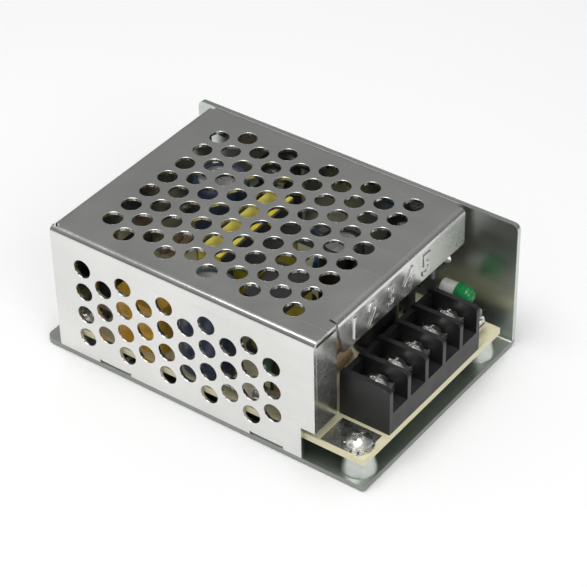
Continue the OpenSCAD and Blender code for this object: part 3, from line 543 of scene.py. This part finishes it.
class PathTree:
    """A Geometry Nodes tree with named inputs, turned into a plain mesh."""

    def __init__(self, name, **inputs):
        self.group = bpy.data.node_groups.new(name, "GeometryNodeTree")
        self.group.interface.new_socket("Geometry", in_out="INPUT",
                                        socket_type="NodeSocketGeometry")
        self.group.interface.new_socket("Geometry", in_out="OUTPUT",
                                        socket_type="NodeSocketGeometry")
        self.values = {}
        for label, value in inputs.items():
            kind = "NodeSocketInt" if isinstance(value, int) else "NodeSocketFloat"
            socket = self.group.interface.new_socket(label, in_out="INPUT", socket_type=kind)
            socket.default_value = value
            self.values[socket.identifier] = value
        self.start = self.group.nodes.new("NodeGroupInput")
        self.end = self.group.nodes.new("NodeGroupOutput")

    def node(self, kind, links=None, **settings):
        made = self.group.nodes.new(kind)
        for key, value in settings.items():
            setattr(made, key, value)
        for key, source in (links or {}).items():
            if isinstance(source, bpy.types.NodeSocket):
                self.group.links.new(source, made.inputs[key])
            else:
                made.inputs[key].default_value = source
        return made

    def size(self, label):
        return self.start.outputs[label]

    def finish(self, geometry, material):
        """Ends the tree with real, finished geometry."""
        real = self.node("GeometryNodeRealizeInstances", {"Geometry": geometry})
        coat = self.node("GeometryNodeSetMaterial",
                         {"Geometry": real.outputs[0], "Material": material})
        self.group.links.new(coat.outputs[0], self.end.inputs[0])

    def built(self, points=()):
        """The tree's mesh, made over a mesh of loose points."""
        seed = bpy.data.meshes.new(self.group.name + "_points")
        seed.from_pydata([tuple(p) for p in points], [], [])
        carrier = bpy.data.objects.new(self.group.name, seed)
        bpy.context.collection.objects.link(carrier)
        modifier = carrier.modifiers.new(self.group.name, "NODES")
        modifier.node_group = self.group
        for identifier, value in self.values.items():
            modifier[identifier] = value
        graph = bpy.context.evaluated_depsgraph_get()
        mesh = bpy.data.meshes.new_from_object(carrier.evaluated_get(graph))
        bpy.data.objects.remove(carrier)
        mesh.name = self.group.name
        return mesh


def join_meshes(name, parts):
    """One mesh out of several bmesh builders."""
    whole = bmesh.new()
    for part in parts:
        part(whole)
    bmesh.ops.recalc_face_normals(whole, faces=whole.faces)
    mesh = bpy.data.meshes.new(name)
    whole.to_mesh(mesh)
    whole.free()
    return mesh


def lathe(profile, centre, axis="Z", steps=48):
    """A closed turned shape: profile is (radius, height) from one pole to the other."""
    def build(whole):
        rings = []
        for radius, height in profile:
            ring = []
            count = steps if radius > 1e-7 else 1
            for i in range(count):
                angle = math.tau * i / steps
                x, y, z = radius * math.cos(angle), radius * math.sin(angle), height
                place = (x, y, z) if axis == "Z" else (z, x, y)
                ring.append(whole.verts.new(Vector(centre) + Vector(place)))
            rings.append(ring)
        for low, high in zip(rings, rings[1:]):
            for i in range(steps):
                j = (i + 1) % steps
                corner = [low[i % len(low)], low[j % len(low)], high[j % len(high)],
                          high[i % len(high)]]
                unique = list(dict.fromkeys(corner))
                if len(unique) > 2:
                    whole.faces.new(unique)
    return build


def slab(low, high, bevel=0.0):
    """A block between two corners, its edges rounded."""
    def build(whole):
        made = bmesh.ops.create_cube(whole, size=1)
        span = [high[i] - low[i] for i in range(3)]
        middle = [(high[i] + low[i]) / 2 for i in range(3)]
        for vertex in made["verts"]:
            vertex.co = Vector([vertex.co[i] * span[i] + middle[i] for i in range(3)])
        if bevel:
            edges = list({edge for vertex in made["verts"] for edge in vertex.link_edges})
            bmesh.ops.bevel(whole, geom=edges, offset=bevel, segments=2, profile=0.6,
                            affect="EDGES")
    return build


# ------------------------------------------------------------------ the case

def vent_centres():
    """Centres of the vent holes, read from the cover's own box and their plain pattern."""
    low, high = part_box("cover")
    pitch, column, count = 6.15 * MM, 5.5 * MM, 10
    middle_x = (low[0] + high[0]) / 2
    middle_y = (low[1] + high[1]) / 2
    top, side = [], []
    for c in range(count):
        x = middle_x + (c - (count - 1) / 2) * column
        rows = 7 if c % 2 == 0 else 8
        top += [(x, middle_y + (i - (rows - 1) / 2) * pitch, high[2]) for i in range(rows)]
        rows = 4 if c % 2 == 0 else 3
        side += [(x - 0.9 * MM, low[1], 16 * MM + (i - (rows - 1) / 2) * pitch)
                 for i in range(rows)]
    return top, side


class SUPPLY_OT_case(Operator):
    """Finish the chassis, the cover and the screws that hold them"""
    bl_idname = "supply.case"
    bl_label = "Case"

    def execute(self, context):
        dress("chassis", "cover", "cover_screws", "insulating_sheet")
        return {"FINISHED"}


class SUPPLY_OT_vent_rims(Operator):
    """Round the punched edge of every vent hole"""
    bl_idname = "supply.vent_rims"
    bl_label = "Vent rims"

    def execute(self, context):
        hole = 2.3 * MM
        for name, places, turn in zip(("vent_rims_top", "vent_rims_side"), vent_centres(),
                                      (0, math.pi / 2)):
            tree = PathTree(name, Hole=hole, Rim=sizes().rim_radius, Turn=float(turn))
            ring = tree.node("GeometryNodeCurvePrimitiveCircle",
                             {"Resolution": 40, "Radius": tree.size("Hole")})
            profile = tree.node("GeometryNodeCurvePrimitiveCircle",
                                {"Resolution": 8, "Radius": tree.size("Rim")})
            rim = tree.node("GeometryNodeCurveToMesh", {"Curve": ring.outputs[0],
                                                        "Profile Curve": profile.outputs[0]})
            aim = tree.node("ShaderNodeCombineXYZ", {"X": tree.size("Turn")})
            each = tree.node("GeometryNodeInstanceOnPoints",
                             {"Points": tree.start.outputs[0], "Instance": rim.outputs[0],
                              "Rotation": aim.outputs[0]})
            tree.finish(each.outputs[0], finish_for("cover_sheet"))
            inward = sizes().rim_radius * 0.98
            points = [(x, y + (inward if turn else 0), z - (0 if turn else inward))
                      for x, y, z in places]
            mesh = tree.built(points)
            smooth(mesh)
            mesh_piece(name, mesh, "cover_sheet")
        return {"FINISHED"}


class SUPPLY_OT_lip_marks(Operator):
    """Raise a plain number over each terminal on the cover's lip"""
    bl_idname = "supply.lip_marks"
    bl_label = "Terminal numbers"

    def execute(self, context):
        low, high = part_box("cover")
        height = sizes().mark_height
        parts = []
        for way in range(1, 6):
            curve = bpy.data.curves.new("number", "FONT")
            curve.body = str(way)
            curve.size = height * 1.4
            curve.align_x = "CENTER"
            curve.extrude = sizes().mark_relief / 2
            curve.bevel_depth = sizes().mark_relief / 2
            curve.bevel_resolution = 3
            text = bpy.data.objects.new("number", curve)
            bpy.context.collection.objects.link(text)
            graph = bpy.context.evaluated_depsgraph_get()
            mesh = bpy.data.meshes.new_from_object(text.evaluated_get(graph))
            bpy.data.objects.remove(text)
            y = middle_of("terminal_screw_%d" % way)[1]
            place = Matrix.Translation((high[0], y, high[2] - 7.7 * MM))
            turn = Matrix(((0, 0, 1, 0), (1, 0, 0, 0), (0, 1, 0, 0), (0, 0, 0, 1)))
            mesh.transform(place @ turn)
            parts.append(lambda whole, mesh=mesh: whole.from_mesh(mesh))
        mesh = join_meshes("terminal_numbers", parts)
        smooth(mesh)
        mesh_piece("terminal_numbers", mesh, "cover_sheet")
        return {"FINISHED"}


# ------------------------------------------------------------------ the board

def lead_places():
    """Where leads come through the board, from the boxes of the parts above it."""
    places = []
    for name in ("bulk_capacitors", "output_capacitors"):
        for low, high in solids(name):
            x, y = (low[0] + high[0]) / 2, (low[1] + high[1]) / 2
            places += [(x - 2.5 * MM, y), (x + 2.5 * MM, y)]
    for name in ("line_capacitor", "filter_coil_core", "output_inductor_core", "line_choke_core"):
        low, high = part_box(name)
        x, y = (low[0] + high[0]) / 2, (low[1] + high[1]) / 2
        reach = max(high[0] - low[0], 6 * MM) * 0.36
        places += [(x - reach, y), (x + reach, y)]
    low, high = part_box("transformer_bobbin")
    for i in range(5):
        y = low[1] + (high[1] - low[1]) * (0.1 + 0.2 * i)
        places += [(low[0] + 1.6 * MM, y), (high[0] - 1.6 * MM, y)]
    for name in ("resistors", "diodes"):
        for low, high in solids(name):
            x, y = (low[0] + high[0]) / 2, (low[1] + high[1]) / 2
            if high[0] - low[0] > high[1] - low[1]:
                places += [(low[0] + 0.35 * MM, y), (high[0] - 0.35 * MM, y)]
            else:
                places += [(x, low[1] + 0.35 * MM), (x, high[1] - 0.35 * MM)]
    for name, pins in (("controller_chip", 4), ("optocoupler", 2)):
        low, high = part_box(name)
        x = (low[0] + high[0]) / 2
        for i in range(pins):
            step = (i - (pins - 1) / 2) * 2.54 * MM
            places += [(x + step, low[1] + 0.4 * MM), (x + step, high[1] - 0.4 * MM)]
    for low, high in solids("device_leads"):
        places.append(((low[0] + high[0]) / 2, low[1] + 0.3 * MM))
    for low, high in solids("lamp_leads"):
        places.append((low[0] + 0.3 * MM, (low[1] + high[1]) / 2))
    low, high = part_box("bridge_rectifier")
    places += [((low[0] + high[0]) / 2, low[1] + (1.6 + i * 3.7) * MM) for i in range(4)]
    return places


def solids(node):
    """Boxes of a node's separate solids, found from its loose parts."""
    whole = bmesh.new()
    whole.from_mesh(frame["nodes"][node].data)
    bmesh.ops.remove_doubles(whole, verts=whole.verts, dist=1e-7)
    whole.verts.index_update()
    left, boxes = set(whole.verts), []
    while left:
        reached, edge = set(), {next(iter(left))}
        while edge:
            reached |= edge
            edge = {e.other_vert(v) for v in edge for e in v.link_edges} - reached
        left -= reached
        boxes.append((tuple(min(v.co[i] for v in reached) for i in range(3)),
                      tuple(max(v.co[i] for v in reached) for i in range(3))))
    whole.free()
    return sorted(boxes)


class SUPPLY_OT_board(Operator):
    """Finish the board and its screws, and lay the tinned pads round them"""
    bl_idname = "supply.board"
    bl_label = "Circuit board"

    def execute(self, context):
        dress("circuit_board", "board_screws", "lock_washers")
        low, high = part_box("circuit_board")
        thick = 0.05 * MM
        inset = 0.3 * MM
        near = low[1] + inset
        front = high[0] - 1.2 * MM
        spans = [((low[0] + inset, near), (low[0] + 7.4 * MM, near + 7.4 * MM)),
                 ((low[0] + inset, high[1] - 7.4 * MM), (low[0] + 7.4 * MM, high[1] - inset)),
                 ((front - 9.8 * MM, near), (front, near + 8.0 * MM))]
        parts = [slab((*start, high[2]), (*end, high[2] + thick)) for start, end in spans]
        mesh_piece("screw_pads", join_meshes("screw_pads", parts), "tinned_metal")
        return {"FINISHED"}


class SUPPLY_OT_solder(Operator):
    """Solder every lead under the board, with its clipped tail"""
    bl_idname = "supply.solder"
    bl_label = "Solder joints"

    def execute(self, context):
        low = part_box("circuit_board")[0][2]
        s = sizes()
        tree = PathTree("solder_joints", Radius=s.joint_radius, Height=s.joint_height,
                        Tail=s.tail_radius)
        cone = tree.node("GeometryNodeMeshCone",
                         {"Vertices": 16, "Radius Top": tree.size("Radius"),
                          "Radius Bottom": tree.size("Tail"), "Depth": tree.size("Height")})
        sunk = tree.node("ShaderNodeMath", {0: tree.size("Height"), 1: -1.0}, operation="MULTIPLY")
        drop = tree.node("ShaderNodeCombineXYZ", {"Z": sunk.outputs[0]})
        cone_set = tree.node("GeometryNodeTransform", {"Geometry": cone.outputs[0],
                                                       "Translation": drop.outputs[0]})
        tail = tree.node("GeometryNodeMeshCylinder",
                         {"Vertices": 12, "Radius": tree.size("Tail"), "Depth": 1.5 * MM})
        down = tree.node("ShaderNodeCombineXYZ", {"Z": -0.75 * MM})
        tail_set = tree.node("GeometryNodeTransform", {"Geometry": tail.outputs[0],
                                                       "Translation": down.outputs[0]})
        both = tree.node("GeometryNodeJoinGeometry")
        tree.group.links.new(cone_set.outputs[0], both.inputs[0])
        tree.group.links.new(tail_set.outputs[0], both.inputs[0])
        each = tree.node("GeometryNodeInstanceOnPoints",
                         {"Points": tree.start.outputs[0], "Instance": both.outputs[0]})
        tree.finish(each.outputs[0], finish_for("tinned_metal"))
        mesh = tree.built([(x, y, low) for x, y in lead_places()])
        smooth(mesh)
        mesh_piece("solder_joints", mesh, "tinned_metal")
        return {"FINISHED"}


class SUPPLY_OT_terminals(Operator):
    """Finish the terminal block, its contacts, clamp plates and screws"""
    bl_idname = "supply.terminals"
    bl_label = "Terminals"

    def execute(self, context):
        dress("terminal_block", "terminal_contacts")
        for way in range(1, 6):
            dress("clamp_plate_%d" % way, "terminal_screw_%d" % way)
        return {"FINISHED"}


class SUPPLY_OT_lamp(Operator):
    """Finish the lamp and the trimmer, and set the cup and post inside the lens"""
    bl_idname = "supply.lamp"
    bl_label = "Lamp and trimmer"

    def execute(self, context):
        dress("lamp", "lamp_sleeve", "lamp_leads", "trimmer_body", "trimmer_rotor",
              "trimmer_legs")
        frame["nodes"]["trimmer_body"].data.materials[0] = coated_finish(
            "trimmer_grey", (0.30, 0.30, 0.29), (0.3, 0.45), 1200)
        low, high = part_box("lamp")
        x, y, z = low[0], (low[1] + high[1]) / 2, (low[2] + high[2]) / 2
        parts = [slab((x + 0.4 * MM, y - 1.5 * MM, z - 0.25 * MM),
                      (x + 2.0 * MM, y - 0.2 * MM, z + 0.25 * MM), 0.08 * MM),
                 slab((x + 0.4 * MM, y + 0.3 * MM, z - 0.2 * MM),
                      (x + 1.8 * MM, y + 1.2 * MM, z + 0.2 * MM), 0.08 * MM)]
        mesh_piece("lamp_cup", join_meshes("lamp_cup", parts), "tinned_metal")
        return {"FINISHED"}


# ------------------------------------------------------------------ wound parts and capacitors

class SUPPLY_OT_magnetics(Operator):
    """Finish the transformer, the coils and their cores"""
    bl_idname = "supply.magnetics"
    bl_label = "Transformer and coils"

    def execute(self, context):
        dress("transformer_core", "transformer_bobbin", "transformer_winding", "core_tape",
              "filter_coil", "filter_coil_core", "output_inductor_core",
              "output_inductor_winding", "line_choke_core", "line_choke_windings")
        return {"FINISHED"}


class SUPPLY_OT_choke(Operator):
    """Wind both halves of the line choke turn by turn"""
    bl_idname = "supply.choke"
    bl_label = "Line choke windings"

    def execute(self, context):
        low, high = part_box("line_choke_core")
        centre = Vector(middle_of("line_choke_core"))
        outer = (high[1] - low[1]) / 2
        width = high[0] - low[0]
        s = sizes()
        wire = s.wire_radius
        ring_middle = outer - 1.5 * MM
        tree = PathTree("line_choke_wire", Wire=wire, Depth=3 * MM + 2.3 * wire,
                        Width=width + 2.3 * wire)
        loop = tree.node("GeometryNodeCurvePrimitiveQuadrilateral",
                         {"Width": tree.size("Depth"), "Height": tree.size("Width")})
        rounded = tree.node("GeometryNodeFilletCurve",
                            {"Curve": loop.outputs[0], "Radius": 0.8 * MM, "Count": 4},
                            mode="POLY")
        profile = tree.node("GeometryNodeCurvePrimitiveCircle",
                            {"Resolution": 10, "Radius": tree.size("Wire")})
        turn = tree.node("GeometryNodeCurveToMesh", {"Curve": rounded.outputs[0],
                                                     "Profile Curve": profile.outputs[0]})
        each = tree.node("GeometryNodeInstanceOnPoints",
                         {"Points": tree.start.outputs[0], "Instance": turn.outputs[0]})
        spin = tree.node("GeometryNodeInputPosition")
        split = tree.node("ShaderNodeSeparateXYZ", {0: spin.outputs[0]})
        angle = tree.node("ShaderNodeMath", {0: split.outputs["Y"], 1: split.outputs["X"]},
                          operation="ARCTAN2")
        lay = tree.node("ShaderNodeCombineXYZ", {"X": math.pi / 2, "Z": angle.outputs[0]})
        tree.group.links.new(lay.outputs[0], each.inputs["Rotation"])
        tree.finish(each.outputs[0], finish_for("copper_wire"))
        points = []
        spacing = math.radians(136) / (s.choke_turns - 1)
        for side in (0, math.pi):
            for i in range(s.choke_turns):
                angle_at = side + (i - (s.choke_turns - 1) / 2) * spacing
                points.append((ring_middle * math.cos(angle_at),
                               ring_middle * math.sin(angle_at), 0))
        mesh = tree.built(points)
        upright = Matrix(((0, 0, 1, 0), (1, 0, 0, 0), (0, 1, 0, 0), (0, 0, 0, 1)))
        mesh.transform(Matrix.Translation(centre) @ upright)
        smooth(mesh)
        piece = mesh_piece("line_choke_wire", mesh, "copper_wire")
        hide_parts("line_choke_windings")
        return {"FINISHED"}


class SUPPLY_OT_capacitors(Operator):
    """Finish the capacitors and score the vents in their tops"""
    bl_idname = "supply.capacitors"
    bl_label = "Capacitors"

    def execute(self, context):
        dress("bulk_capacitors", "output_capacitors", "line_capacitor", "safety_capacitor",
              "supply_capacitor")
        width = sizes().score_width / 2
        parts = []
        for name in ("bulk_capacitors", "output_capacitors"):
            for low, high in solids(name):
                x, y = (low[0] + high[0]) / 2, (low[1] + high[1]) / 2
                z = high[2] - 0.3 * MM
                reach = (high[0] - low[0]) / 2 - 2.2 * MM
                for a, b in ((reach, width), (width, reach)):
                    parts.append(slab((x - a, y - b, z - 0.02 * MM), (x + a, y + b, z + 0.04 * MM),
                                      0.02 * MM))
        mesh_piece("vent_scores", join_meshes("vent_scores", parts), "tinned_metal")
        return {"FINISHED"}


class SUPPLY_OT_small_parts(Operator):
    """Finish the small parts on the board and the power devices on the wall"""
    bl_idname = "supply.small_parts"
    bl_label = "Small parts"

    def execute(self, context):
        dress("bridge_rectifier", "fuse", "inrush_thermistor", "controller_chip", "optocoupler",
              "resistors", "diodes", "shunt_regulator", "power_transistor", "output_rectifier",
              "device_leads", "thermal_pads", "device_screws")
        return {"FINISHED"}


# ------------------------------------------------------------------ the stage

def plain_sky(strength):
    """White to the camera, a grey studio to polished metal, even light to the rest."""
    world = bpy.data.worlds.new("studio")
    world.use_nodes = True
    tree = world.node_tree
    tree.nodes.clear()

    def node(kind, **settings):
        made = tree.nodes.new("ShaderNode" + kind)
        for key, value in settings.items():
            setattr(made, key, value)
        return made

    link = tree.links.new
    split = node("SeparateXYZ")
    link(node("TexCoord").outputs["Generated"], split.inputs[0])
    ramp = node("ValToRGB")
    link(split.outputs["Z"], ramp.inputs["Fac"])
    steps = ((0.0, 0.92), (0.02, 0.85), (0.07, 0.16), (0.30, 0.12), (0.48, 0.26), (0.62, 0.24),
             (0.80, 0.34), (1.0, 0.5))
    ramp.color_ramp.elements[0].position = steps[0][0]
    ramp.color_ramp.elements[0].color = (steps[0][1],) * 3 + (1,)
    ramp.color_ramp.elements[1].position = steps[-1][0]
    ramp.color_ramp.elements[1].color = (steps[-1][1],) * 3 + (1,)
    for place, value in steps[1:-1]:
        ramp.color_ramp.elements.new(place).color = (value, value, value, 1)
    seen, studio, even = node("Background"), node("Background"), node("Background")
    seen.inputs["Color"].default_value = (1, 1, 1, 1)
    link(ramp.outputs["Color"], studio.inputs["Color"])
    even.inputs["Color"].default_value = (1, 1, 1, 1)
    even.inputs["Strength"].default_value = strength
    path = node("LightPath")
    gloss, plain = node("MixShader"), node("MixShader")
    link(path.outputs["Is Glossy Ray"], gloss.inputs[0])
    link(even.outputs[0], gloss.inputs[1])
    link(studio.outputs[0], gloss.inputs[2])
    clear = node("Math", operation="MAXIMUM")
    link(path.outputs["Is Camera Ray"], clear.inputs[0])
    link(path.outputs["Is Transmission Ray"], clear.inputs[1])
    link(clear.outputs[0], plain.inputs[0])
    link(gloss.outputs[0], plain.inputs[1])
    link(seen.outputs[0], plain.inputs[2])
    link(plain.outputs[0], node("OutputWorld").inputs["Surface"])
    bpy.context.scene.world = world


def lamp_at(name, place, aim, size, power):
    data = bpy.data.lights.new(name, "AREA")
    data.shape = "RECTANGLE"
    data.size, data.size_y = size
    data.energy = power
    lamp = bpy.data.objects.new(name, data)
    bpy.context.collection.objects.link(lamp)
    lamp.location = place
    lamp.rotation_euler = (Vector(aim) - Vector(place)).to_track_quat("-Z", "Y").to_euler()
    return lamp


class SUPPLY_OT_stage(Operator):
    """Set the camera, the lamps, the sky and the floor"""
    bl_idname = "supply.stage"
    bl_label = "Stage"

    def execute(self, context):
        scene = context.scene
        s = scene.supply_stage
        a, e, r = s.azimuth, s.elevation, s.roll
        back = Vector((math.sin(a) * math.cos(e), -math.cos(a) * math.cos(e), math.sin(e)))
        right = Vector((math.cos(a), math.sin(a), 0))
        up = back.cross(right)
        right, up = (right * math.cos(r) + up * math.sin(r)), (up * math.cos(r) - right * math.sin(r))
        data = bpy.data.cameras.new("camera")
        data.sensor_width = 36
        data.lens = s.lens
        data.clip_start = 0.01
        camera = bpy.data.objects.new("camera", data)
        scene.collection.objects.link(camera)
        turn = Matrix((right, up, back)).transposed().to_4x4()
        camera.matrix_world = Matrix.Translation(Vector(s.aim) + back * s.distance) @ turn
        scene.camera = camera
        plain_sky(s.sky)
        lamp_at("overhead", (-0.06, -0.10, 0.62), (0, 0, 0.01), (0.42, 0.36), s.key)
        lamp_at("beside_camera", (0.62, -0.34, 0.52), (0, 0, 0.01), (0.40, 0.40), s.fill)
        floor = bpy.data.meshes.new("floor")
        reach = 3.0
        floor.from_pydata([(-reach, -reach, -0.0002), (reach, -reach, -0.0002),
                           (reach, reach, -0.0002), (-reach, reach, -0.0002)], [], [(0, 1, 2, 3)])
        piece = bpy.data.objects.new("floor", floor)
        scene.collection.objects.link(piece)
        paper = Finish("floor_paper", Roughness=0.9, Specular_IOR_Level=0.1)
        base = tuple(colours().floor)
        paper.set(Base_Color=paper.mix(paper.spread(paper.noise(6, 3, 0.5), 0, 1), base,
                                       shade(base, 0.99)))
        floor.materials.append(paper.material)
        scene.view_settings.view_transform = "Standard"
        return {"FINISHED"}


class SUPPLY_PT_panel(Panel):
    """The steps that dress the supply, and their settings"""
    bl_idname = "SUPPLY_PT_panel"
    bl_label = "Power Supply"
    bl_space_type = "VIEW_3D"
    bl_region_type = "UI"
    bl_category = "Power Supply"

    def draw(self, context):
        for step in STEPS:
            self.layout.operator(step.bl_idname)
        for group in (context.scene.supply_colours, context.scene.supply_sizes,
                      context.scene.supply_stage):
            box = self.layout.box()
            for key in group.__annotations__:
                box.prop(group, key)


STEPS = (SUPPLY_OT_case, SUPPLY_OT_vent_rims, SUPPLY_OT_lip_marks, SUPPLY_OT_board,
         SUPPLY_OT_solder, SUPPLY_OT_terminals, SUPPLY_OT_lamp, SUPPLY_OT_magnetics,
         SUPPLY_OT_choke, SUPPLY_OT_capacitors, SUPPLY_OT_small_parts, SUPPLY_OT_stage)
SETTINGS = {"supply_colours": SupplyColours, "supply_sizes": SupplySizes,
            "supply_stage": StageSettings}


def register():
    for group in SETTINGS.values():
        bpy.utils.register_class(group)
    for step in STEPS:
        bpy.utils.register_class(step)
    bpy.utils.register_class(SUPPLY_PT_panel)
    for key, group in SETTINGS.items():
        setattr(bpy.types.Scene, key, PointerProperty(type=group))


def unregister():
    for key in SETTINGS:
        delattr(bpy.types.Scene, key)
    bpy.utils.unregister_class(SUPPLY_PT_panel)
    for step in reversed(STEPS):
        bpy.utils.unregister_class(step)
    for group in SETTINGS.values():
        bpy.utils.unregister_class(group)


def main():
    register()
    for step in STEPS:
        group, name = step.bl_idname.split(".")
        getattr(getattr(bpy.ops, group), name)()


if __name__ == "__main__":
    main()
